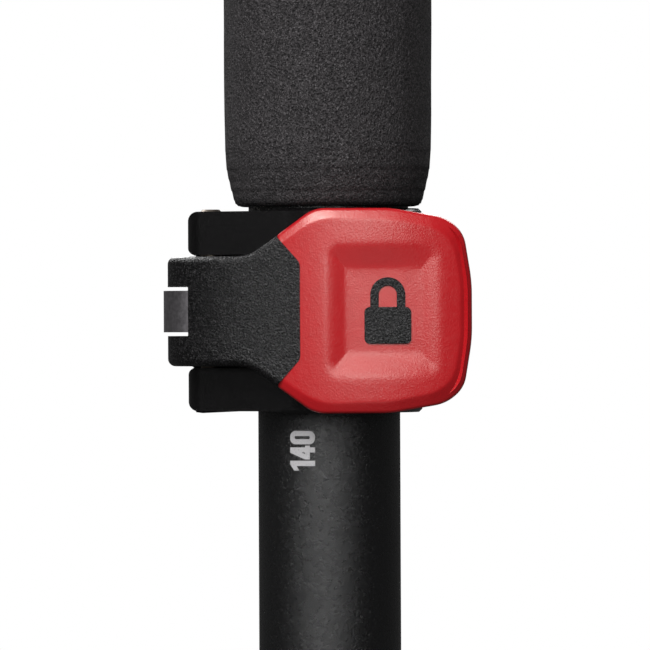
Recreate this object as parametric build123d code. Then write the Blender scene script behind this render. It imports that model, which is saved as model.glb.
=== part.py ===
"""Lever-lock joint of an adjustable hiking pole.

A foam-sleeved upper tube carries a split clamp collar. A wrap-around lever turns an
eccentric pin, which pulls a steel link and a tension screw, closes the split and grips
the lower tube. The lower tube slides and turns in the upper one when the lever is open.

Frame: millimetres, +Z up along the pole, origin at the centre of the lower tube's bottom
end. The lever is on the -Y side and its hinge is at -X. The part functions work in lock
coordinates, with z = 0 at the middle of the collar; save() lifts them by LOCK_Z.
"""
from build123d import *
import os
from math import acos, atan2, cos, degrees, hypot, radians, sin

# ---- the pole's tubes and foam, lock coordinates ----
LOCK_Z = 78.0               # height of the collar's middle above the lower tube's end
UPPER_R = 9.0               # 18 mm upper tube
UPPER_BORE_R = 8.4
UPPER_BOTTOM_Z = -8.8
UPPER_TOP_Z = 95.0
GRIP_SEAT_R = 8.8           # stepped seat for the grip or the next tube
GRIP_SEAT_LENGTH = 16.0
TUBE_SLOT_WIDTH = 1.2       # saw cuts that let the tube's end close
TUBE_SLOT_TOP_Z = 9.0
LOWER_R = 8.0               # 16 mm lower tube
LOWER_BORE_R = 6.9
LOWER_TOP_Z = 34.0
TIP_SEAT_R = 7.3            # reamed seat for the next section, at the lower tube's open end
TIP_SEAT_LENGTH = 20.0
LINER_OUTER_R = 8.38
LINER_INNER_R = 8.06
LINER_TOP_Z = 10.0
LINER_FLANGE_R = 8.95
LINER_FLANGE_H = 0.8
BUSHING_R = 8.34
BUSHING_H = 6.0
BUSHING_PLUG_L = 10.0
BUSHING_HOLE_R = 4.5
FOAM_BOTTOM_Z = 11.75
FOAM_TOP_Z = 78.0
FOAM_R = 11.75
FOAM_INNER_R = 9.02

# ---- clamp collar ----
RING_R = 10.5
RING_BORE_R = 9.03
RING_TOP_Z = 11.5
RING_BOTTOM_Z = -11.4
LIP_BORE_R = 8.2
LIP_TOP_Z = -10.0
LUG_HALF_H = 11.2           # half the height of the lugs and ears
KNUCKLE_INNER_Z = 6.35      # the lever's hub turns between the knuckles
KNUCKLE_R = 2.6
LUG_CORNER_R = 1.1
LUG_INNER_CORNER_R = 0.8    # at the corner next to the lever's hub
EAR_LEFT_X = -15.8
EAR_FRONT_Y = 3.85
SPLIT_FRONT_Y = 5.7
SPLIT_BACK_Y = 6.7
EAR_BACK_Y = 9.9
EAR_CORNER_R = 1.6
SCREW_SEAT_Y = 8.7
SCREW_SEAT_R = 3.5
LINK_SLOT_HALF_H = 2.65
LINK_SLOT_RIGHT_X = -10.65
COLLAR_CHAMFER = 0.35

# ---- hinge, link and screw ----
HINGE = (-13.2, -1.5)       # x and y of the vertical hinge axis
PIN_R = 1.2
PIN_PROUD = 0.25            # above the upper knuckle
PIN_SHORT = 0.1             # inside the lower knuckle
PIN_JOURNAL_R = 0.9         # eccentric journal inside the link's eye
PIN_OFFSET = 0.25
PIN_JOURNAL_HALF_H = 2.55
HINGE_CLEARANCE = 0.05
LINK_R = 5.37
LINK_HALF_H = 2.33
SHANK_HALF_W = 2.35
SHANK_END_Y = 5.6
THREAD_START_Y = 0.9
SCREW_R = 1.5
SCREW_CLEARANCE = 0.05
SCREW_TIP_Y = 1.2
SCREW_HEAD_R = 2.75
SCREW_HEAD_H = 2.2
SCREW_HEX = 2.5
WASHER_R = 3.2
WASHER_T = 0.5

# ---- lever ----
HUB_HALF_H = 6.15
FLARE_START_X = -8.9
LEVER_SLOT_HALF_H = 2.75
LEVER_SLOT_R = 5.55
LEVER_SLOT_X = -15.75       # the slot shows on the outside only left of here
SWEEP_CLEARANCE = 0.15
WEB_CLEARANCE = 0.6
OPEN_ANGLE = 105            # degrees from closed to fully open
PLATE_INNER_Y = -9.65       # back of the lever's free half
PLATE_RIGHT_X = -4.5        # where that flat back starts
# The outer face seen from above is three tangent arcs. Each row is the arc's radius and
# the angle at which it ends, where 90 faces -X and 0 faces -Y.
HEEL_X = -18.1
OUTER_ARCS = ((7.0, 50.0), (18.0, 20.0), (40.0, -28.0))
HUB_BACK_Y = 1.8
NECK_ROUND = 0.85
COVER_T = 1.25
COVER_SKIRT_Y = -11.05      # how far the cover's edge reaches back
COVER_GAP = 0.05
PLATE_INSET = 0.55          # the body's plate lies this far inside the cover's outline
# Cover outline, front view, upper half: corner x, corner z, corner radius.
COVER_CORNERS = (
    (-3.2, 5.35, 1.0), (-5.85, 8.35, 0.25), (-1.65, 11.42, 3.8), (6.9, 11.4, 12.0),
    (13.05, 10.35, 4.6), (15.05, 8.6, 3.4), (15.93, 3.2, 18.0),
)
DISH_LEFT, DISH_RIGHT = -0.3, 12.4
DISH_HALF_H = 7.3
DISH_SLOPE = 2.2
DISH_DEPTH = 0.85
DISH_CORNER_R = 1.7

# ---- padlock sign: a boss of the lever's body in a window of the cover ----
SIGN_X = 6.55
SIGN_W = 5.2
SIGN_BODY_H = 4.1
SIGN_BODY_BOTTOM = -3.7
SIGN_SHACKLE_R = 1.95
SIGN_SHACKLE_T = 0.95
SIGN_CORNER_R = 0.6
SIGN_CLEARANCE = 0.04

# ---- length numerals on the lower tube ----
NUMERAL_H = 3.0
NUMERAL_STROKE = 0.58
NUMERAL_RELIEF = 0.04
NUMERAL_MID_ANGLE = 22.3    # degrees from the front towards -X
NUMERAL_GAP = 0.14
LABELS = (("140", -15.62), ("135", -65.62))

BIG = 60.0


def tube(outer_r, inner_r, z0, z1):
    height = z1 - z0
    solid = Cylinder(outer_r, height, align=(Align.CENTER, Align.CENTER, Align.MIN))
    solid -= Cylinder(inner_r, height, align=(Align.CENTER, Align.CENTER, Align.MIN))
    return Pos(0, 0, z0) * solid


def rod(radius, z0, z1, x=0.0, y=0.0):
    return Pos(x, y, z0) * Cylinder(radius, z1 - z0, align=(Align.CENTER, Align.CENTER, Align.MIN))


def block(x0, x1, y0, y1, z0, z1):
    return Pos(x0, y0, z0) * Box(x1 - x0, y1 - y0, z1 - z0, align=(Align.MIN, Align.MIN, Align.MIN))


def slab(face, z0, z1):
    """Extrude a face of the XY plane from z0 to z1."""
    return Pos(0, 0, z0) * extrude(face, z1 - z0, dir=(0, 0, 1))


def front_slab(points, radii, y0, y1):
    """Extrude a front-view outline, given as (x, z) corners, from y0 to y1."""
    outline = FilletPolyline(*[(x, z) for x, z in points], radius=radii, close=True)
    return front_extrude(make_face(outline), y0, y1)


def front_extrude(face, y0, y1):
    plane = Plane(origin=(0, y1, 0), x_dir=(1, 0, 0), z_dir=(0, -1, 0))
    return extrude(plane * face, y1 - y0, dir=(0, -1, 0))


# ---------------------------------------------------------------- tubes and foam
def make_upper_shaft():
    seat_z = UPPER_TOP_Z - GRIP_SEAT_LENGTH
    solid = tube(UPPER_R, UPPER_BORE_R, UPPER_BOTTOM_Z, seat_z)
    solid += tube(GRIP_SEAT_R, UPPER_BORE_R, seat_z, UPPER_TOP_Z)
    for angle in (45, 135):
        cut = block(-BIG, BIG, -TUBE_SLOT_WIDTH / 2, TUBE_SLOT_WIDTH / 2,
                    UPPER_BOTTOM_Z, TUBE_SLOT_TOP_Z)
        solid -= Rot(0, 0, angle) * cut
    return solid


def make_shaft_liner():
    solid = tube(LINER_OUTER_R, LINER_INNER_R, UPPER_BOTTOM_Z, LINER_TOP_Z)
    solid += tube(LINER_FLANGE_R, LINER_INNER_R, UPPER_BOTTOM_Z - LINER_FLANGE_H, UPPER_BOTTOM_Z)
    slit = block(-BIG, 0, SPLIT_FRONT_Y, SPLIT_BACK_Y, -BIG, BIG)
    return solid - slit


def make_foam_sleeve():
    """Tapered lower end, straight middle, rounded shoulder at the top."""
    rise = FOAM_BOTTOM_Z
    profile = [
        (FOAM_INNER_R, rise), (9.7, rise), (10.4, rise + 0.3), (10.95, rise + 2.0),
        (11.45, rise + 4.3), (FOAM_R, rise + 9.0), (FOAM_R, FOAM_TOP_Z - 3.0),
        (FOAM_R - 0.8, FOAM_TOP_Z - 0.9), (FOAM_R - 2.4, FOAM_TOP_Z), (FOAM_INNER_R, FOAM_TOP_Z),
    ]
    section = Plane.XZ * make_face(Polyline(*profile, close=True))
    return revolve(section, Axis.Z)


def make_lower_shaft():
    seat = rod(TIP_SEAT_R, -LOCK_Z, -LOCK_Z + TIP_SEAT_LENGTH)
    return tube(LOWER_R, LOWER_BORE_R, -LOCK_Z, LOWER_TOP_Z) - seat


def make_glide_bushing():
    solid = rod(BUSHING_R, LOWER_TOP_Z, LOWER_TOP_Z + BUSHING_H)
    solid = chamfer(solid.edges().group_by(Axis.Z)[-1], 0.6)
    solid += rod(LOWER_BORE_R, LOWER_TOP_Z - BUSHING_PLUG_L, LOWER_TOP_Z)
    return solid - rod(BUSHING_HOLE_R, -BIG, BIG)


# ---------------------------------------------------------------- numerals
def box2d(x0, x1, y0, y1):
    return Pos((x0 + x1) / 2, (y0 + y1) / 2) * Rectangle(x1 - x0, y1 - y0)


def round_box2d(x0, x1, y0, y1, r):
    return Pos((x0 + x1) / 2, (y0 + y1) / 2) * RectangleRounded(x1 - x0, y1 - y0, r)


def digit(character):
    """One numeral as a flat sketch from its lower left corner, and its width."""
    h, s = NUMERAL_H, NUMERAL_STROKE
    if character == "1":
        corners = ((0.5, 0), (1.1, 0), (1.1, h), (0.68, h), (0, h - 0.5), (0, h - 1.1), (0.5, h - 0.8))
        return make_face(Polyline(*corners, close=True)), 1.1
    if character == "4":
        slope = ((0, 1.15), (0.75, h), (1.35, h), (0.6, 1.15))
        shape = make_face(Polyline(*slope, close=True))
        return shape + box2d(0, 1.55, 0.6, 1.15) + box2d(0.78, 1.35, 0, h), 1.55
    width = 1.5
    inner = width - s
    if character == "0":
        shape = round_box2d(0, width, 0, h, 0.68)
        return shape - round_box2d(s, inner, s, h - s, 0.15), width
    if character == "3":
        shape = round_box2d(0, width, 0, h, 0.5)
        shape -= box2d(s, inner, s, h / 2 - 0.28) + box2d(s, inner, h / 2 + 0.28, h - s)
        return shape - box2d(-1, s, 0.95, h - 0.95), width
    if character == "5":
        bowl_top = 1.95
        shape = round_box2d(0, width, 0, bowl_top, 0.5) - box2d(s, inner, s, bowl_top - s)
        shape -= box2d(-1, s, 0.95, bowl_top - s)
        return shape + box2d(0, s, bowl_top - s, h) + box2d(0, width - 0.05, h - s, h), width
    raise ValueError(character)


def make_scale_numerals():
    """Each label reads upwards along the tube, with its numerals' tops towards -X."""
    angle = radians(NUMERAL_MID_ANGLE)
    outward = (-sin(angle), -cos(angle), 0)
    solids = []
    for label, middle_z in LABELS:
        shapes = [digit(character) for character in label]
        length = sum(width for _, width in shapes) + NUMERAL_GAP * (len(label) - 1)
        along = -length / 2
        for shape, width in shapes:
            flat = Pos(along, -NUMERAL_H / 2) * shape
            plane = Plane(origin=(0, 0, middle_z), x_dir=(0, 0, 1), z_dir=outward)
            beam = extrude(plane * flat, LOWER_R + 2)
            skin = tube(LOWER_R + NUMERAL_RELIEF, LOWER_R, middle_z - length, middle_z + length)
            solids += (beam & skin).solids()
            along += width + NUMERAL_GAP
    return Compound(children=solids)


# ---------------------------------------------------------------- clamp collar
def web_points():
    """Where the common tangent of the ring and the knuckle touches each of them."""
    distance = hypot(*HINGE)
    direction = degrees(atan2(HINGE[1], HINGE[0]))
    tangent = radians(direction + degrees(acos((RING_R - KNUCKLE_R) / distance)))
    on_ring = (RING_R * cos(tangent), RING_R * sin(tangent))
    on_knuckle = (HINGE[0] + KNUCKLE_R * cos(tangent), HINGE[1] + KNUCKLE_R * sin(tangent))
    return on_ring, on_knuckle


def knuckle_web():
    """The knuckle and its tangent web to the ring, seen from above."""
    on_ring, on_knuckle = web_points()
    web = make_face(Polyline(on_ring, on_knuckle, HINGE, (0, 0), close=True))
    return web + Pos(*HINGE) * Circle(KNUCKLE_R)


def inner_corner_cut():
    """What rounds the lugs' corners next to the hub, above and below it, in front view."""
    r = LUG_INNER_CORNER_R
    cut = box2d(EAR_LEFT_X - 1, EAR_LEFT_X + r, KNUCKLE_INNER_Z - 0.35, KNUCKLE_INNER_Z + r)
    cut -= Pos(EAR_LEFT_X + r, KNUCKLE_INNER_Z + r) * Circle(r)
    return cut + mirror(cut, about=Plane.XZ)


def make_clamp_collar():
    back_join = (-(RING_R**2 - (EAR_BACK_Y - 0.1) ** 2) ** 0.5, EAR_BACK_Y - 0.1)
    ears = FilletPolyline(
        (EAR_LEFT_X, EAR_FRONT_Y), (EAR_LEFT_X, EAR_BACK_Y), (-10, EAR_BACK_Y), back_join,
        (0, 0), (-7, EAR_FRONT_Y), radius=(0.6, EAR_CORNER_R, 0, 0, 0, 0), close=True)
    ears = slab(make_face(ears), -LUG_HALF_H, LUG_HALF_H)
    web = knuckle_web()
    web += make_face(Polyline(HINGE, (0, 0), (-7, EAR_FRONT_Y + 1), (EAR_LEFT_X, EAR_FRONT_Y + 1),
                              (EAR_LEFT_X, HINGE[1]), close=True))
    ring = tube(RING_R, LIP_BORE_R, RING_BOTTOM_Z, RING_TOP_Z)
    ring = chamfer(ring.edges().filter_by(GeomType.CIRCLE).group_by(SortBy.RADIUS)[-1], COLLAR_CHAMFER)
    solid = ring + ears
    for z0, z1 in ((KNUCKLE_INNER_Z, LUG_HALF_H), (-LUG_HALF_H, -KNUCKLE_INNER_Z)):
        solid += slab(web, z0, z1)
    # rounded corners of the lugs, seen from the front
    frame = ((EAR_LEFT_X, -LUG_HALF_H), (-7, -LUG_HALF_H), (-5, RING_BOTTOM_Z), (BIG, RING_BOTTOM_Z),
             (BIG, RING_TOP_Z), (-5, RING_TOP_Z), (-7, LUG_HALF_H), (EAR_LEFT_X, LUG_HALF_H))
    radii = (LUG_CORNER_R, 0, 0, 0, 0, 0, 0, LUG_CORNER_R)
    solid &= front_slab(frame, radii, -BIG, BIG)
    solid -= front_extrude(inner_corner_cut(), -BIG, BIG)
    # bores, split and the passage of the link
    solid -= rod(LIP_BORE_R, -BIG, BIG)
    solid -= rod(RING_BORE_R, LIP_TOP_Z, BIG)
    solid -= block(-BIG, -1, SPLIT_FRONT_Y, SPLIT_BACK_Y, -BIG, BIG)
    solid -= block(-BIG, LINK_SLOT_RIGHT_X, EAR_FRONT_Y - 1, SPLIT_FRONT_Y + 0.5,
                   -LINK_SLOT_HALF_H, LINK_SLOT_HALF_H)
    solid -= rod(PIN_R + HINGE_CLEARANCE, -BIG, BIG, *HINGE)
    across = Pos(HINGE[0], 0, 0) * Rot(-90, 0, 0)
    solid -= across * rod(SCREW_R + 0.2, SPLIT_BACK_Y - 0.5, BIG)
    solid -= across * rod(SCREW_SEAT_R, SCREW_SEAT_Y, BIG)
    return solid


# ---------------------------------------------------------------- hinge, link, screw
def make_hinge_pin():
    solid = rod(PIN_R, -LUG_HALF_H + PIN_SHORT, LUG_HALF_H + PIN_PROUD, *HINGE)
    solid = chamfer(solid.edges().filter_by(GeomType.CIRCLE), 0.25)
    solid -= rod(2 * PIN_R, -PIN_JOURNAL_HALF_H, PIN_JOURNAL_HALF_H, *HINGE)
    journal = rod(PIN_JOURNAL_R, -PIN_JOURNAL_HALF_H, PIN_JOURNAL_HALF_H,
                  HINGE[0], HINGE[1] - PIN_OFFSET)
    return solid + journal


def make_tension_link():
    height = LINK_HALF_H
    solid = rod(LINK_R, -height, height, *HINGE)
    solid += block(HINGE[0] - SHANK_HALF_W, HINGE[0] + SHANK_HALF_W, HINGE[1], SHANK_END_Y, -height, height)
    solid -= rod(RING_R + SWEEP_CLEARANCE, -BIG, BIG)
    solid -= rod(PIN_R + HINGE_CLEARANCE, -BIG, BIG, *HINGE)
    thread = Pos(HINGE[0], 0, 0) * Rot(-90, 0, 0) * rod(SCREW_R + SCREW_CLEARANCE, THREAD_START_Y, BIG)
    return solid - thread


def make_tension_screw():
    seat = SCREW_SEAT_Y + WASHER_T
    head = rod(SCREW_HEAD_R, seat, seat + SCREW_HEAD_H)
    head = chamfer(head.edges().group_by(Axis.Z)[-1], 0.3)
    socket = Pos(0, 0, seat + SCREW_HEAD_H - 1.3) * extrude(RegularPolygon(SCREW_HEX / 2, 6), 2)
    shank = rod(SCREW_R, SCREW_TIP_Y, seat)
    shank = chamfer(shank.edges().group_by(Axis.Z)[0], 0.3)
    return Pos(HINGE[0], 0, 0) * Rot(-90, 0, 0) * (head - socket + shank)


def make_screw_washer():
    ring = tube(WASHER_R, SCREW_R + 0.1, SCREW_SEAT_Y, SCREW_SEAT_Y + WASHER_T)
    return Pos(HINGE[0], 0, 0) * Rot(-90, 0, 0) * ring


# ---------------------------------------------------------------- lever
def outer_region(inset):
    """Everything behind the lever's outer face, moved inwards by inset, seen from above."""
    radius, angle = OUTER_ARCS[0][0], 90.0
    centre = (HEEL_X + radius, HINGE[1])
    edges = []
    for radius_next, end_angle in OUTER_ARCS:
        shift = radius_next - radius
        centre = (centre[0] + shift * sin(radians(angle)), centre[1] + shift * cos(radians(angle)))
        radius = radius_next
        stops = [angle, (angle + end_angle) / 2, end_angle]
        points = [(centre[0] - (radius - inset) * sin(radians(a)),
                   centre[1] - (radius - inset) * cos(radians(a))) for a in stops]
        edges.append(ThreePointArc(*points))
        angle = end_angle
    start, end = edges[0] @ 0, edges[-1] @ 1
    edges += Polyline((end.X, end.Y), (end.X, HUB_BACK_Y), (start.X, HUB_BACK_Y), (start.X, start.Y)).edges()
    return make_face(edges)


def outer_y(x):
    """The outer face's y at x."""
    radius, angle = OUTER_ARCS[0][0], 90.0
    centre = (HEEL_X + radius, HINGE[1])
    for radius_next, end_angle in OUTER_ARCS:
        shift = radius_next - radius
        centre = (centre[0] + shift * sin(radians(angle)), centre[1] + shift * cos(radians(angle)))
        radius, angle = radius_next, end_angle
        if x <= centre[0] - radius * sin(radians(angle)):
            break
    return centre[1] - max(radius**2 - (x - centre[0]) ** 2, 0.0) ** 0.5


def is_neck_rim(edge):
    """True for the long edges along the top and bottom of the neck's outer face."""
    spots = [edge @ t for t in (0.25, 0.5, 0.75)]
    on_face = all(abs(outer_y(spot.X) - spot.Y) < 0.002 for spot in spots)
    return on_face and abs(spots[1].Z) > HUB_HALF_H - 0.5 and spots[1].X < -5


def ring_sweep():
    """Where the ring passes, seen from the lever, as the lever opens."""
    reach = hypot(*HINGE)
    start = degrees(atan2(-HINGE[1], -HINGE[0]))
    swept = Sketch()
    for turn in range(0, OPEN_ANGLE + 5, 5):
        direction = radians(start + turn)
        centre = Pos(HINGE[0] + reach * cos(direction), HINGE[1] + reach * sin(direction))
        swept += centre * Circle(RING_R + SWEEP_CLEARANCE)
    return swept


def mirrored(corners):
    """Close an upper-half outline below the middle line."""
    lower = [(x, -z, r) for x, z, r in reversed(corners) if z > 0]
    return list(corners) + lower


def cover_outline(inset=0.0):
    corners = mirrored(COVER_CORNERS)
    wire = FilletPolyline(*[(x, z) for x, z, _ in corners],
                          radius=[r for _, _, r in corners], close=True)
    return make_face(offset(make_face(wire), -inset).edges()) if inset else make_face(wire)


def plate_outline(inset):
    """The plate under the cover, with the bridge that joins it to the neck."""
    left = COVER_CORNERS[0][0]
    reach = COVER_CORNERS[0][1] - inset
    return cover_outline(inset) + box2d(left - 0.5, left + 1.5, -reach, reach)


def neck_outline():
    """Hub, neck and flare, carried on under the cover's corners."""
    upper = [(HEEL_X - 1, HUB_HALF_H, 0), (FLARE_START_X, HUB_HALF_H, 4.0), (-3.0, 10.3, 0)]
    corners = mirrored(upper)
    return make_face(FilletPolyline(*[(x, z) for x, z, _ in corners],
                                    radius=[r for _, _, r in corners], close=True))


def padlock(grow, solid_shackle=False):
    """Generic padlock sign: body and arched shackle, grown by grow."""
    top = SIGN_BODY_BOTTOM + SIGN_BODY_H
    body = round_box2d(-SIGN_W / 2 - grow, SIGN_W / 2 + grow, SIGN_BODY_BOTTOM - grow, top + grow, SIGN_CORNER_R)
    arch_z = top + 1.35
    outer, inner = SIGN_SHACKLE_R + grow, SIGN_SHACKLE_R - SIGN_SHACKLE_T
    shackle = Pos(0, arch_z) * Circle(outer) + box2d(-outer, outer, top - 0.5, arch_z)
    if not solid_shackle:
        shackle -= Pos(0, arch_z) * Circle(inner) + box2d(-inner, inner, top - 1, arch_z)
    return Pos(SIGN_X, 0) * (body + shackle)


def make_dish_cutter():
    """Shallow dish with sloping sides, pressed into the cover's face."""
    crown = crown_y()
    middle = (DISH_LEFT + DISH_RIGHT) / 2
    width, height = DISH_RIGHT - DISH_LEFT, 2 * DISH_HALF_H
    floor_y = crown + DISH_DEPTH
    rise = 1.5
    spread = DISH_SLOPE * rise / DISH_DEPTH
    sections = []
    for y, grow in ((floor_y, -DISH_SLOPE), (floor_y - rise, spread - DISH_SLOPE)):
        plane = Plane(origin=(middle, y, 0), x_dir=(1, 0, 0), z_dir=(0, -1, 0))
        sections.append(plane * RectangleRounded(width + 2 * grow, height + 2 * grow, DISH_CORNER_R))
    return loft(sections)


def crown_y():
    """The outer face's most forward point."""
    radius, angle = OUTER_ARCS[0][0], 90.0
    y = HINGE[1]
    for radius_next, end_angle in OUTER_ARCS:
        y += (radius_next - radius) * cos(radians(angle))
        radius, angle = radius_next, end_angle
    return y - radius


def make_lever_body():
    behind_face = slab(outer_region(0.0), -BIG / 2, BIG / 2)
    neck = behind_face & front_extrude(neck_outline(), -BIG, BIG)
    neck = fillet([edge for edge in neck.edges() if is_neck_rim(edge)], NECK_ROUND)
    neck -= front_extrude(cover_outline(), -BIG, BIG)
    solid = neck + (behind_face & front_extrude(plate_outline(PLATE_INSET), -BIG, BIG))
    # the cover lies on the plate
    cover_space = front_extrude(cover_outline(), -BIG, 0)
    cover_space -= slab(outer_region(COVER_T + COVER_GAP), -BIG, BIG)
    solid -= cover_space
    solid -= block(PLATE_RIGHT_X, BIG, PLATE_INNER_Y, BIG, -BIG, BIG)
    solid -= slab(ring_sweep(), -BIG, BIG)
    # the link's slot, the pin's hole
    solid -= rod(LEVER_SLOT_R, -LEVER_SLOT_HALF_H, LEVER_SLOT_HALF_H, *HINGE)
    solid -= block(-BIG, LEVER_SLOT_X, -BIG, BIG, -LEVER_SLOT_HALF_H, LEVER_SLOT_HALF_H)
    solid -= rod(PIN_R, -BIG, BIG, *HINGE)
    # the flare next to the hub stays clear of the knuckles' webs
    relief = offset(knuckle_web(), WEB_CLEARANCE)
    solid -= slab(relief, HUB_HALF_H + 0.05, BIG) + slab(relief, -BIG, -HUB_HALF_H - 0.05)
    boss = front_extrude(padlock(0.0), crown_y() + DISH_DEPTH - 0.15, PLATE_INNER_Y - 0.5)
    return solid + boss


def make_lever_cover():
    solid = slab(outer_region(0.0), -BIG / 2, BIG / 2) & front_extrude(cover_outline(), -BIG, COVER_SKIRT_Y)
    hollow = slab(outer_region(COVER_T), -BIG / 2, BIG / 2)
    hollow &= front_extrude(plate_outline(PLATE_INSET - COVER_GAP), -BIG, BIG)
    solid -= hollow
    solid -= make_dish_cutter()
    solid -= front_extrude(padlock(SIGN_CLEARANCE, solid_shackle=True), -BIG, BIG)
    return solid


# ---------------------------------------------------------------- output
PARTS = {
    "upper_shaft": make_upper_shaft,
    "foam_sleeve": make_foam_sleeve,
    "clamp_collar": make_clamp_collar,
    "shaft_liner": make_shaft_liner,
    "tension_link": make_tension_link,
    "screw_washer": make_screw_washer,
    "tension_screw": make_tension_screw,
    "hinge_pin": make_hinge_pin,
    "lever_body": make_lever_body,
    "lever_cover": make_lever_cover,
    "glide_bushing": make_glide_bushing,
    "lower_shaft": make_lower_shaft,
    "scale_numerals": make_scale_numerals,
}


def save():
    os.makedirs("parts", exist_ok=True)
    for name, make in PARTS.items():
        solid = Pos(0, 0, LOCK_Z) * make()
        solid.label = name
        export_step(solid, f"parts/{name}.step")
        print(name, round(solid.volume, 1), len(solid.solids()))


save()
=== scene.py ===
"""Looks of the lever-lock joint of an adjustable hiking pole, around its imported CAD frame.

Shapes are worked out in millimetres in lock coordinates, where z = 0 is the middle of the
clamp collar, and placed by place(). -Y is the lever's side and the hinge is at -X.
"""
import math
import bpy
import numpy as np
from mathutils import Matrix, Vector


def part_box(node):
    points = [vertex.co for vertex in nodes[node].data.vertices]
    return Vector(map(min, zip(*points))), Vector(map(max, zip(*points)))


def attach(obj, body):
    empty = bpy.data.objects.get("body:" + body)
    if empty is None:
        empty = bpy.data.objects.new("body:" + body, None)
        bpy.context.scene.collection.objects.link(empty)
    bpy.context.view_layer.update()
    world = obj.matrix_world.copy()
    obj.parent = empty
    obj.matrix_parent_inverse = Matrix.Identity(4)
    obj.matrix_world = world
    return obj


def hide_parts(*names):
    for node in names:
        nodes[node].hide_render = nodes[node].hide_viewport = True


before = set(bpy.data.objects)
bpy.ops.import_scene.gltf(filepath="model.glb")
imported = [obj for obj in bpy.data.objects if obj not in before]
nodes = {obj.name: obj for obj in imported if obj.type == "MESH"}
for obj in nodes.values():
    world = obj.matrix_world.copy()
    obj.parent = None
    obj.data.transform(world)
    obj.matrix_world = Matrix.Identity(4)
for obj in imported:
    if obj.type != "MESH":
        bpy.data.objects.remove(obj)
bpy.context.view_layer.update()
scene = bpy.context.scene

MM = 0.001
lever_low, lever_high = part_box("lever_body")
LOCK_Z = (lever_low.z + lever_high.z) / 2


def place(x, y, z):
    """Lock coordinates in millimetres to the frame's metres."""
    return Vector((x * MM, y * MM, LOCK_Z + z * MM))


# ------------------------------------------------------------------ camera and light
CAMERA_DISTANCE = 0.90      # to the tubes' axis
FRAME_WIDTH = 0.07324       # width of the view at the axis
VIEW_CENTRE = (-0.43, -1.58)
VIEW_ROLL = 0.25
SENSOR = 36.0


def make_camera():
    data = bpy.data.cameras.new("camera")
    data.sensor_width = SENSOR
    data.lens = SENSOR * CAMERA_DISTANCE / FRAME_WIDTH
    data.clip_start = 0.01
    data.clip_end = 20
    camera = bpy.data.objects.new("camera", data)
    camera.location = place(VIEW_CENTRE[0], -CAMERA_DISTANCE / MM, VIEW_CENTRE[1])
    camera.rotation_euler = (math.radians(90), math.radians(VIEW_ROLL), 0)
    scene.collection.objects.link(camera)
    scene.camera = camera


def area_light(name, azimuth, elevation, distance, width, height, power):
    """A rectangular soft light that faces the lock, in metres, watts and degrees.

    Azimuth 0 is in front, at -Y, and grows to +X.
    """
    data = bpy.data.lights.new(name, "AREA")
    data.shape = "RECTANGLE"
    data.size, data.size_y = width, height
    data.energy = power
    light = bpy.data.objects.new(name, data)
    a, e = math.radians(azimuth), math.radians(elevation)
    direction = Vector((math.sin(a) * math.cos(e), -math.cos(a) * math.cos(e), math.sin(e)))
    light.location = place(0, 0, 0) + direction * distance
    light.rotation_euler = direction.to_track_quat("Z", "Y").to_euler()
    scene.collection.objects.link(light)


def make_lights():
    area_light("key", -3, 14, 1.0, 0.40, 0.4, 2.8)
    area_light("left", -54, 16, 1.0, 0.3, 0.4, 0.25)
    area_light("upper_left", -32, 44, 1.0, 0.4, 0.4, 7.6)
    area_light("upper", 5, 42, 1.0, 0.4, 0.4, 1.4)
    area_light("lower", 0, -30, 1.0, 0.4, 0.4, 0.3)
    area_light("back", 180, 30, 1.2, 0.4, 0.8, 10.0)
    area_light("back_left", -152, 38, 1.2, 0.4, 0.4, 4.0)
    area_light("back_right", 152, 38, 1.2, 0.4, 0.4, 4.0)


WORLD_LIGHT = 0.065
WHITE = (1, 1, 1, 1)


def make_world():
    """White to the camera, and a dimmer even light on the object."""
    world = bpy.data.worlds.new("world")
    scene.world = world
    world.use_nodes = True
    tree = world.node_tree
    tree.nodes.clear()
    output = tree.nodes.new("ShaderNodeOutputWorld")
    path = tree.nodes.new("ShaderNodeLightPath")
    dim = tree.nodes.new("ShaderNodeBackground")
    white = tree.nodes.new("ShaderNodeBackground")
    mix = tree.nodes.new("ShaderNodeMixShader")
    for background, strength in ((dim, WORLD_LIGHT), (white, 1.0)):
        background.inputs["Color"].default_value = WHITE
        background.inputs["Strength"].default_value = strength
    tree.links.new(path.outputs["Is Camera Ray"], mix.inputs["Fac"])
    tree.links.new(dim.outputs[0], mix.inputs[1])
    tree.links.new(white.outputs[0], mix.inputs[2])
    tree.links.new(mix.outputs[0], output.inputs["Surface"])
    scene.view_settings.view_transform = "Standard"


# ------------------------------------------------------------------ materials
# Places of the colour sockets on Blender's mix node.
MIX_FACTOR = 0
MIX_FIRST = 6
MIX_SECOND = 7
MIX_RESULT = 2


def scaled(colour, factor):
    return [min(1, channel * factor) for channel in colour]


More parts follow.
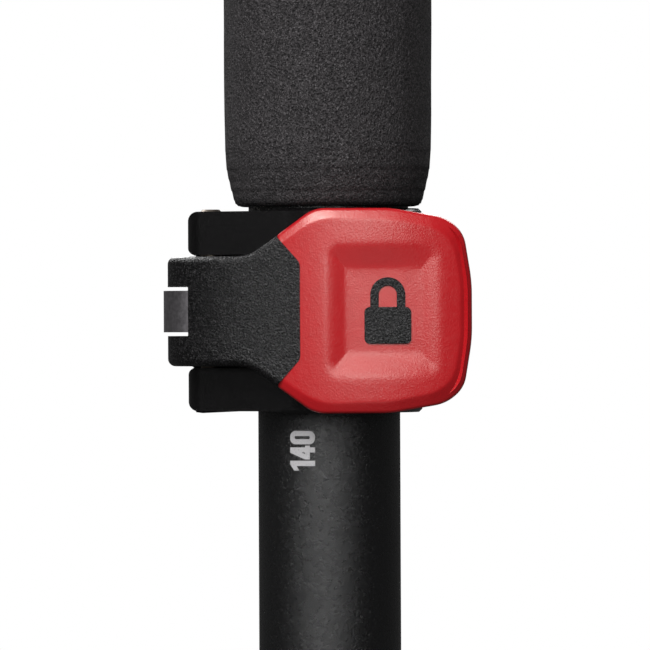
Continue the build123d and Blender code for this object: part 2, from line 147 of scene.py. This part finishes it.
class Finish:
    """A procedural material in object coordinates, which are the frame's metres."""

    def __init__(self, name, **sockets):
        self.material = bpy.data.materials.new(name)
        self.material.use_nodes = True
        self.tree = self.material.node_tree
        self.shader = self.tree.nodes["Principled BSDF"]
        self.coords = self.tree.nodes.new("ShaderNodeTexCoord").outputs["Object"]
        for socket, value in sockets.items():
            self.shader.inputs[socket.replace("_", " ")].default_value = value
        self.normal = None

    def connect(self, value, target):
        """Links an output socket to the target, or sets a plain value on it."""
        if isinstance(value, bpy.types.NodeSocket):
            self.tree.links.new(value, target)
        else:
            target.default_value = value

    def node(self, kind, **inputs):
        made = self.tree.nodes.new(kind)
        for socket, value in inputs.items():
            self.connect(value, made.inputs[socket.replace("_", " ")])
        return made

    def noise(self, size_mm, detail=3.0, roughness=0.5):
        """Noise with features about size_mm across, from 0 to 1."""
        made = self.node("ShaderNodeTexNoise", Vector=self.coords, Scale=1.0 / (size_mm * MM),
                         Detail=detail, Roughness=roughness)
        return made.outputs["Fac"]

    def cells(self, size_mm):
        """Distance to the middle of cells about size_mm across."""
        made = self.node("ShaderNodeTexVoronoi", Vector=self.coords, Scale=1.0 / (size_mm * MM))
        return made.outputs["Distance"]

    def ramp(self, value, low, high, low_out=0.0, high_out=1.0):
        """Value taken from the range low to high over to low_out to high_out, and held there."""
        made = self.node("ShaderNodeMapRange", Value=value, From_Min=low, From_Max=high,
                         To_Min=low_out, To_Max=high_out)
        made.clamp = True
        return made.outputs["Result"]

    def mix_colour(self, factor, first, second):
        made = self.tree.nodes.new("ShaderNodeMix")
        made.data_type = "RGBA"
        self.connect(factor, made.inputs[MIX_FACTOR])
        for value, number in ((first, MIX_FIRST), (second, MIX_SECOND)):
            is_socket = isinstance(value, bpy.types.NodeSocket)
            self.connect(value if is_socket else (*value, 1), made.inputs[number])
        return made.outputs[MIX_RESULT]

    def maths(self, operation, first, second):
        made = self.tree.nodes.new("ShaderNodeMath")
        made.operation = operation
        self.connect(first, made.inputs[0])
        self.connect(second, made.inputs[1])
        return made.outputs[0]

    def colour(self, socket):
        self.tree.links.new(socket, self.shader.inputs["Base Color"])

    def uneven_roughness(self, size_mm, detail, low, high):
        """Roughness that drifts between low and high in patches about size_mm across."""
        patches = self.ramp(self.noise(size_mm, detail), 0.3, 0.7, low, high)
        self.tree.links.new(patches, self.shader.inputs["Roughness"])

    def bump(self, height, depth_mm):
        """Adds relief depth_mm deep to what is already on the surface."""
        inputs = {"Height": height, "Distance": depth_mm * MM, "Strength": 1.0}
        if self.normal is not None:
            inputs["Normal"] = self.normal
        made = self.node("ShaderNodeBump", **inputs)
        self.normal = made.outputs["Normal"]
        self.tree.links.new(self.normal, self.shader.inputs["Normal"])


def glass_filled_plastic(name, base, painted_sparkle_colour, fleck_mm, roughness, grain_mm, specular):
    """Black moulded plastic with a fine grain, and lighter specks that paint the sparkle of short
    glass fibres.
    """
    finish = Finish(name, Roughness=roughness, Specular_IOR_Level=specular)
    # Lighter specks in the colour: painted sparkle of the glass fibres.
    painted_sparkle_mask = finish.ramp(finish.noise(fleck_mm, 2.0, 0.7), 0.56, 0.70)
    ground = finish.mix_colour(finish.noise(2.5, 3.0), scaled(base, 0.8), scaled(base, 1.2))
    finish.colour(finish.mix_colour(painted_sparkle_mask, ground, painted_sparkle_colour))
    finish.uneven_roughness(0.3, 2.0, roughness - 0.07, roughness + 0.08)
    finish.bump(finish.noise(fleck_mm * 1.2, 2.0, 0.6), grain_mm)
    return finish.material


def red_soft_plastic():
    """Soft-touch plastic with a fine leathery grain and faint handling marks."""
    finish = Finish("cover_red", Specular_IOR_Level=0.9, Specular_Tint=(1.0, 0.93, 0.86, 1))
    marks = finish.noise(1.6, 4.0)
    finish.colour(finish.mix_colour(marks, (0.51, 0.005, 0.010), (0.59, 0.009, 0.016)))
    finish.uneven_roughness(0.5, 3.0, 0.29, 0.37)
    finish.bump(finish.noise(0.9, 2.0, 0.5), 0.014)
    finish.bump(finish.noise(0.2, 2.0), 0.022)
    return finish.material


def foam_rubber():
    """Fine-pored closed-cell foam: small pits of two sizes, painted dark as shade inside them, and a
    mottled grey.
    """
    finish = Finish("foam", Specular_IOR_Level=0.3)
    large_pores = finish.ramp(finish.cells(0.42), 0.05, 0.42)
    small_pores = finish.ramp(finish.cells(0.2), 0.05, 0.5)
    # Mask of the pits, used both for their relief and for the painted shade in them.
    pore_pits_and_painted_shade = finish.maths("MULTIPLY", large_pores, small_pores)
    cloud = finish.noise(1.2, 4.0, 0.6)
    cloudy = finish.mix_colour(cloud, (0.034, 0.031, 0.0325), (0.066, 0.060, 0.063))
    specks = finish.ramp(finish.noise(0.17, 2.0, 0.7), 0.52, 0.68)
    mottled = finish.mix_colour(specks, cloudy, (0.17, 0.16, 0.165))
    # The pits are painted near-black: painted shade in the pores.
    finish.colour(finish.mix_colour(pore_pits_and_painted_shade, (0.012, 0.0115, 0.012), mottled))
    finish.uneven_roughness(0.6, 2.0, 0.62, 0.78)
    finish.bump(pore_pits_and_painted_shade, 0.2)
    finish.bump(finish.noise(0.26, 3.0, 0.65), 0.36)
    return finish.material


def coated_tube(name, base):
    """Black coating with an orange-peel skin on a drawn tube, and lighter specks that paint its
    sparkle.
    """
    finish = Finish(name, Specular_IOR_Level=0.8)
    # Lighter specks in the colour: painted sparkle of the coating's grain.
    specks = finish.ramp(finish.noise(0.13, 2.0, 0.7), 0.56, 0.70)
    finish.colour(finish.mix_colour(specks, base, scaled(base, 6)))
    finish.uneven_roughness(0.8, 3.0, 0.23, 0.30)
    finish.bump(finish.noise(0.17, 2.0, 0.6), 0.10)
    return finish.material


STEEL_GRAIN_MM = 0.15


def steel(name, base, roughness):
    """Satin steel with a fine tumbled grain."""
    finish = Finish(name, Metallic=1.0)
    finish.colour(finish.mix_colour(finish.noise(0.8, 3.0), scaled(base, 0.85), scaled(base, 1.15)))
    finish.uneven_roughness(STEEL_GRAIN_MM * 3, 3.0, roughness - 0.06, roughness + 0.06)
    finish.bump(finish.noise(STEEL_GRAIN_MM, 2.0), 0.004)
    return finish.material


def plain_plastic(name, base, roughness):
    """Moulded plastic of one colour."""
    finish = Finish(name)
    finish.colour(finish.mix_colour(finish.noise(1.0, 3.0), scaled(base, 0.92), base))
    finish.uneven_roughness(0.5, 2.0, roughness - 0.05, roughness + 0.05)
    finish.bump(finish.noise(0.2, 2.0), 0.004)
    return finish.material


def printed_numerals():
    """White screen print, slightly thin where the tube's grain shows."""
    finish = Finish("numeral_print", Specular_IOR_Level=0.4)
    worn = finish.ramp(finish.noise(0.12, 3.0, 0.6), 0.3, 0.45)
    finish.colour(finish.mix_colour(worn, (0.30, 0.30, 0.30), (0.52, 0.51, 0.52)))
    finish.uneven_roughness(0.3, 2.0, 0.45, 0.6)
    finish.bump(finish.noise(0.22, 3.0, 0.6), 0.01)
    return finish.material


COATED = (0.003, 0.003, 0.0032)
finishes = {
    "lever_black": glass_filled_plastic(
        "lever_black", (0.0018, 0.0016, 0.0019), painted_sparkle_colour=(0.075, 0.071, 0.075), fleck_mm=0.17,
        roughness=0.28, grain_mm=0.16, specular=0.42),
    "collar_black": glass_filled_plastic(
        "collar_black", (0.0022, 0.002, 0.0022), painted_sparkle_colour=(0.016, 0.015, 0.016), fleck_mm=0.12,
        roughness=0.19, grain_mm=0.022, specular=0.5),
    "red": red_soft_plastic(),
    "foam": foam_rubber(),
    "lower_tube": coated_tube("lower_tube", COATED),
    "upper_tube": coated_tube("upper_tube", COATED),
    "link": steel("link_steel", (0.42, 0.40, 0.42), 0.40),
    "pin": steel("pin_steel", (0.36, 0.31, 0.26), 0.4),
    "screw": steel("screw_steel", (0.09, 0.09, 0.095), 0.38),
    "liner": plain_plastic("liner_plastic", (0.72, 0.72, 0.70), 0.45),
    "bushing": plain_plastic("bushing_plastic", (0.05, 0.05, 0.055), 0.5),
    "numerals": printed_numerals(),
}
NODE_FINISHES = {
    "upper_shaft": "upper_tube", "clamp_collar": "collar_black", "shaft_liner": "liner",
    "tension_link": "link", "screw_washer": "screw", "tension_screw": "screw",
    "hinge_pin": "pin", "lever_body": "lever_black", "glide_bushing": "bushing",
    "lower_shaft": "lower_tube", "scale_numerals": "numerals",
}


def dress_nodes():
    """Gives each CAD node its finish."""
    for name, finish in NODE_FINISHES.items():
        materials = nodes[name].data.materials
        materials.clear()
        materials.append(finishes[finish])


def soften(piece, width_mm, sharper_than, clamp):
    """Bevels a piece's edges sharper than so many degrees.

    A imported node's mesh is split along its sharp edges, so this reaches few of them: on the
    clamp collar it only adds faces at the lower ear.
    """
    bevel = piece.modifiers.new("broken_edges", "BEVEL")
    bevel.width = width_mm * MM
    bevel.segments = 3
    bevel.limit_method = "ANGLE"
    bevel.angle_limit = math.radians(sharper_than)
    bevel.use_clamp_overlap = clamp
    bevel.harden_normals = True


# ------------------------------------------------------------------ meshes
def add_piece(name, vertices, faces, finish, body, slot, *replaced):
    """A smooth mesh in lock coordinates that rides on a body and stands for the replaced nodes."""
    mesh = bpy.data.meshes.new(name)
    mesh.from_pydata([place(*v) for v in vertices], [], faces)
    mesh.validate()
    for polygon in mesh.polygons:
        polygon.use_smooth = True
    mesh.materials.append(finishes[finish])
    piece = bpy.data.objects.new(name, mesh)
    scene.collection.objects.link(piece)
    if replaced:
        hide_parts(*replaced)
    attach(piece, body)
    return piece


def ring_faces(first, second, count):
    """Quads between two closed rows of vertices, which start at first and second."""
    following = [(i + 1) % count for i in range(count)]
    return [(first + i, first + j, second + j, second + i) for i, j in enumerate(following)]


def rounded_outline(corners, step):
    """Points every step mm along a closed outline of (x, z, radius) corners."""
    points = []
    total = len(corners)
    for i, (x, z, radius) in enumerate(corners):
        corner = np.array((x, z))
        before = np.array(corners[i - 1][:2]) - corner
        after = np.array(corners[(i + 1) % total][:2]) - corner
        before, after = before / np.linalg.norm(before), after / np.linalg.norm(after)
        half = math.acos(float(np.clip(before @ after, -1, 1))) / 2
        reach = radius / math.tan(half)
        bisector = (before + after) / np.linalg.norm(before + after)
        centre = corner + bisector * radius / math.sin(half)
        start, end = corner + before * reach - centre, corner + after * reach - centre
        a0 = math.atan2(start[1], start[0])
        a1 = math.atan2(end[1], end[0])
        turn = (a1 - a0 + math.pi) % (2 * math.pi) - math.pi
        count = max(2, int(abs(turn) * radius / step) + 1)
        for k in range(count + 1):
            a = a0 + turn * k / count
            points.append(centre + radius * np.array((math.cos(a), math.sin(a))))
    loop = np.array(points + points[:1])
    lengths = np.concatenate(([0], np.cumsum(np.linalg.norm(np.diff(loop, axis=0), axis=1))))
    count = int(lengths[-1] / step)
    at = np.linspace(0, lengths[-1], count, endpoint=False)
    return np.stack([np.interp(at, lengths, loop[:, 0]), np.interp(at, lengths, loop[:, 1])], axis=1)


# The lever's outer face seen from above: tangent arcs of (radius, end angle), as in the CAD.
HINGE = (-13.2, -1.5)
HEEL_X = -18.1
OUTER_ARCS = ((7.0, 50.0), (18.0, 20.0), (40.0, -28.0))


def outer_y(x):
    """The lever's outer face at x, along the arcs from its heel."""
    radius, angle = OUTER_ARCS[0][0], 90.0
    centre = (HEEL_X + radius, HINGE[1])
    for radius_next, end_angle in OUTER_ARCS:
        shift = radius_next - radius
        turn = math.radians(angle)
        centre = (centre[0] + shift * math.sin(turn), centre[1] + shift * math.cos(turn))
        radius, angle = radius_next, end_angle
        if x <= centre[0] - radius * math.sin(math.radians(angle)):
            break
    return centre[1] - math.sqrt(max(radius**2 - (x - centre[0]) ** 2, 0.0))


def soft_step(t, softness):
    """0 below 0, 1 above 1, straight between, with corners rounded by softness."""
    def ramp(v):
        return 0.5 * (v + math.sqrt(v * v + softness * softness))
    low = ramp(t) - ramp(t - 1)
    floor = ramp(-4.0) - ramp(-5.0)
    return (low - floor) / (1 - 2 * floor)


# Outlines in front view, as (x, z, corner radius), upper half only.
COVER_CORNERS = (
    (-3.2, 5.35, 1.0), (-5.85, 8.35, 0.25), (-1.65, 11.42, 3.8), (6.9, 11.4, 12.0),
    (13.05, 10.35, 4.6), (15.05, 8.6, 3.4), (15.93, 3.2, 18.0),
)
# Where the flat of the face ends and its bevelled rim begins.
FACE_CORNERS = (
    (-9.0, 5.0, 0.0), (-1.3, 10.35, 6.5), (7.0, 10.1, 14.0), (12.5, 9.0, 4.6),
    (13.95, 7.2, 4.0), (14.65, 3.0, 16.0),
)
OUTLINE_STEP = 0.22
FACE_STEP = 0.3
COVER_CENTRE = np.array((6.0, 0.0))
COVER_REACH = 11.65         # the inset at which a row of vertices would shrink to the centre
FACE_INSETS = np.concatenate((np.linspace(0, 2.0, 26), np.linspace(2.12, 11.6, 78)))
NECK_JOINT_X = -3.0         # left of this and between these heights the cover meets the neck
NECK_JOINT_HALF_H = 8.2
BEVEL_SLOPE = 0.44
BEVEL_SOFTNESS = 0.12
RIM_ROUND = 0.3
CROWN_Y = -13.756
CROWN_DROP = 0.22           # how far the face falls back towards its top and bottom
CROWN_HALF_H = 11.0
COVER_SKIRT_Y = -11.05
SIDE_LEVELS = (0.35, 0.7, 1.0)          # from the rim back to the skirt
BACK_RINGS = ((0.5, 0.0), (0.55, -1.2))  # inset, and y from the skirt

DISH_LEFT = -0.3
DISH_RIGHT = 12.5
DISH_HALF_H = 7.35
DISH_SLOPE_SIDE = 2.1
DISH_SLOPE_END = 2.5
DISH_DEPTH = 0.75
DISH_FLATTEN = 0.75         # how much of the face's curve is missing from the dish's floor
DISH_CORNER = 1.7
DISH_SOFTNESS = 0.16


def dish_depth(x, z):
    """How deep the dish is below the face, with sloping walls and rounded corners."""
    half_w = (DISH_RIGHT - DISH_LEFT) / 2
    px = (abs(x - (DISH_LEFT + DISH_RIGHT) / 2) - half_w) / DISH_SLOPE_SIDE
    pz = (abs(z) - DISH_HALF_H) / DISH_SLOPE_END
    corner = DISH_CORNER / DISH_SLOPE_END
    px += corner
    pz += corner
    distance = math.hypot(max(px, 0), max(pz, 0)) + min(max(px, pz), 0) - corner
    depth = DISH_DEPTH - DISH_FLATTEN * (outer_y(x) - CROWN_Y)
    return depth * soft_step(-distance, DISH_SOFTNESS)


def outside_distance(points, loop):
    """Signed distance to a closed loop, positive outside it."""
    nxt = np.roll(loop, -1, axis=0)
    away = distance_to(points, loop, nxt)
    inside = np.zeros(len(points), bool)
    for a, b in zip(loop, nxt):
        if a[1] == b[1]:
            continue
        crosses = (a[1] > points[:, 1]) != (b[1] > points[:, 1])
        cut = a[0] + (points[:, 1] - a[1]) / (b[1] - a[1]) * (b[0] - a[0])
        inside ^= crosses & (points[:, 0] < cut)
    return np.where(inside, -away, away)


def distance_to(points, segments_a, segments_b):
    """Distance from each point to the nearest of the segments."""
    best = np.full(len(points), 1e9)
    for a, b in zip(segments_a, segments_b):
        d = b - a
        t = np.clip(((points - a) @ d) / max(d @ d, 1e-12), 0, 1)
        best = np.minimum(best, np.linalg.norm(points - (a + t[:, None] * d), axis=1))
    return best


def mirrored(corners):
    """The corners of the upper half, then those of the lower half, in order round the outline."""
    return list(corners) + [(x, -z, radius) for x, z, radius in reversed(corners)]


def inset_outline(outline, inset):
    return COVER_CENTRE + (outline - COVER_CENTRE) * (1 - inset / COVER_REACH)


def cover_y(x, z, to_rim, past_face):
    """The cover's outer surface, from the distance to the rim and past the flat of the face."""
    crown = CROWN_DROP * (z / CROWN_HALF_H) ** 2
    bevel = BEVEL_SLOPE * 0.5 * (past_face + math.sqrt(past_face**2 + BEVEL_SOFTNESS**2))
    near_rim = max(RIM_ROUND - to_rim, 0.0)
    rounding = RIM_ROUND - math.sqrt(max(RIM_ROUND**2 - near_rim**2, 0.0))
    return outer_y(x) + crown + bevel + rounding + dish_depth(x, z)


def make_lever_cover():
    """Red cover: convex face, bevelled rim, dish, side wall and a hollow back."""
    outline = rounded_outline(mirrored(COVER_CORNERS), OUTLINE_STEP)
    face = rounded_outline(mirrored(FACE_CORNERS), FACE_STEP)
    count = len(outline)
    # Only the free rim is rounded, not the edge that lies flush against the neck.
    free = (outline[:, 0] > NECK_JOINT_X) | (np.abs(outline[:, 1]) > NECK_JOINT_HALF_H)
    free &= np.roll(free, -1)
    following = np.roll(outline, -1, axis=0)
    vertices, faces = [], []
    for inset in FACE_INSETS:
        row = inset_outline(outline, inset)
        to_rim = distance_to(row, outline[free], following[free])
        past_face = outside_distance(row, face)
        for (x, z), near, past in zip(row, to_rim, past_face):
            vertices.append((x, cover_y(x, z, near, past), z))
    last = (len(FACE_INSETS) - 1) * count
    for start in range(0, last, count):
        faces += ring_faces(start, start + count, count)
    x, z = COVER_CENTRE
    vertices.append((x, outer_y(x) + dish_depth(x, z), z))
    centre = len(vertices) - 1
    faces += [(last + i, last + (i + 1) % count, centre) for i in range(count)]

    # side wall, turned edge and the back of the shell
    front_y = [y for _, y, _ in vertices[:count]]
    rings = []
    for level in SIDE_LEVELS:
        rings.append([(x, y + (COVER_SKIRT_Y - y) * level, z)
                      for (x, z), y in zip(outline, front_y)])
    for inset, behind in BACK_RINGS:
        rings.append([(x, COVER_SKIRT_Y + behind, z) for x, z in inset_outline(outline, inset)])
    previous = 0
    for ring in rings:
        start = len(vertices)
        vertices += ring
        faces += ring_faces(start, previous, count)
        previous = start
    faces.append(tuple(previous + i for i in range(count)))
    add_piece("lever_cover_shell", vertices, faces, "red", "lever", "cover_red", "lever_cover")


# A padlock: a body with rounded corners and a shackle whose legs end inside the body.
SIGN_X = 6.55
SIGN_HALF_W = 2.6
SIGN_BOTTOM = -3.7
SIGN_TOP = 0.4
SIGN_CORNER_R = 0.6
SIGN_STEP = 0.12
SIGN_BODY_PROUD = 0.16
SHACKLE_CENTRE_Z = SIGN_TOP + 1.35
SHACKLE_OUTER_R = 1.95
SHACKLE_INNER_R = 1.0
SHACKLE_FOOT_Z = SIGN_TOP - 0.3
SHACKLE_STEPS = 40
SHACKLE_PROUD = 0.13
SIGN_SUNK = 0.3             # how far its back is below the dish's floor


def shackle_outline():
    """The shackle in front view, with x from the sign's middle."""
    outer_arc, inner_arc = [], []
    for k in range(SHACKLE_STEPS + 1):
        a = math.pi * k / SHACKLE_STEPS
        cos, sin = math.cos(a), math.sin(a)
        outer_arc.append((SHACKLE_OUTER_R * cos, SHACKLE_CENTRE_Z + SHACKLE_OUTER_R * sin))
        inner_arc.append((-SHACKLE_INNER_R * cos, SHACKLE_CENTRE_Z + SHACKLE_INNER_R * sin))
    left_foot = [(-SHACKLE_OUTER_R, SHACKLE_FOOT_Z), (-SHACKLE_INNER_R, SHACKLE_FOOT_Z)]
    return np.array([(SHACKLE_OUTER_R, SHACKLE_FOOT_Z)] + outer_arc + left_foot + inner_arc
                    + [(SHACKLE_INNER_R, SHACKLE_FOOT_Z)])


def make_sign_piece(name, loop, proud):
    """A raised piece of the sign that follows the dish's floor."""
    count = len(loop)
    vertices, faces = [], []
    for y_offset in (SIGN_SUNK, -proud):
        for x, z in loop:
            floor_y = outer_y(x + SIGN_X) + dish_depth(x + SIGN_X, z)
            vertices.append((x + SIGN_X, floor_y + y_offset, z))
    faces += ring_faces(0, count, count)
    faces.append(tuple(count + i for i in range(count)))
    faces.append(tuple(reversed(range(count))))
    piece = add_piece(name, vertices, faces, "lever_black", "lever", "lever_plastic")
    soften(piece, 0.07, sharper_than=50, clamp=True)


def make_sign():
    """Plain padlock sign, a raised boss in the dish."""
    corners = ((-SIGN_HALF_W, SIGN_BOTTOM), (SIGN_HALF_W, SIGN_BOTTOM),
               (SIGN_HALF_W, SIGN_TOP), (-SIGN_HALF_W, SIGN_TOP))
    body = rounded_outline([(x, z, SIGN_CORNER_R) for x, z in corners], SIGN_STEP)
    make_sign_piece("lever_sign_body", body, SIGN_BODY_PROUD)
    make_sign_piece("lever_sign_shackle", shackle_outline(), SHACKLE_PROUD)


FOAM_PROFILE = (  # radius, height
    (9.03, 11.75), (9.75, 11.76), (10.15, 11.86), (10.42, 12.06), (10.58, 12.45), (10.9, 13.6),
    (11.18, 14.8), (11.42, 15.9), (11.58, 18.0), (11.66, 22.0), (11.7, 30.0), (11.72, 45.0),
    (11.72, 60.0), (11.7, 72.0), (11.62, 74.6), (11.3, 76.4), (10.7, 77.5), (10.0, 77.93),
    (9.4, 78.0), (9.03, 77.95),
)


FOAM_AROUND = 256
FOAM_STEP = 0.5
FOAM_SMOOTHING = (0.1, 0.2, 0.4, 0.2, 0.1)
FOAM_WAVY_FROM_R = 10.5     # the ends, which are narrower, stay round
# Unevenness of the ground surface: height of the wave, waves round the sleeve, twist per mm.
FOAM_WAVES = ((0.012, 3, 0.21), (0.010, 7, -0.53))


def foam_radius(radius, angle, height):
    if radius <= FOAM_WAVY_FROM_R:
        return radius
    return radius + sum(size * math.sin(waves * angle + height * twist)
                        for size, waves, twist in FOAM_WAVES)


def make_foam():
    """Foam sleeve turned from its profile, with the slight unevenness of ground foam."""
    profile = np.array(FOAM_PROFILE)
    lengths = np.concatenate(([0], np.cumsum(np.linalg.norm(np.diff(profile, axis=0), axis=1))))
    at = np.unique(np.concatenate((lengths, np.arange(0, lengths[-1], FOAM_STEP))))
    radii = np.interp(at, lengths, profile[:, 0])
    heights = np.interp(at, lengths, profile[:, 1])
    edge = len(FOAM_SMOOTHING) // 2
    smooth = np.convolve(np.pad(radii, edge, mode="edge"), FOAM_SMOOTHING, mode="valid")
    for ends in (slice(0, edge + 1), slice(-edge - 1, None)):
        smooth[ends] = radii[ends]
    vertices, faces = [], []
    for radius, height in zip(smooth, heights):
        for k in range(FOAM_AROUND):
            a = 2 * math.pi * k / FOAM_AROUND
            r = foam_radius(radius, a, height)
            vertices.append((r * math.cos(a), r * math.sin(a), height))
    last = (len(at) - 1) * FOAM_AROUND
    for start in range(0, last, FOAM_AROUND):
        faces += ring_faces(start, start + FOAM_AROUND, FOAM_AROUND)
    faces += ring_faces(last, 0, FOAM_AROUND)
    foam = add_piece("foam_grip", vertices, faces, "foam", "upper_section", "foam", "foam_sleeve")


make_camera()
make_world()
make_lights()
dress_nodes()
soften(nodes["clamp_collar"], 0.26, sharper_than=32, clamp=False)
make_lever_cover()
make_sign()
make_foam()
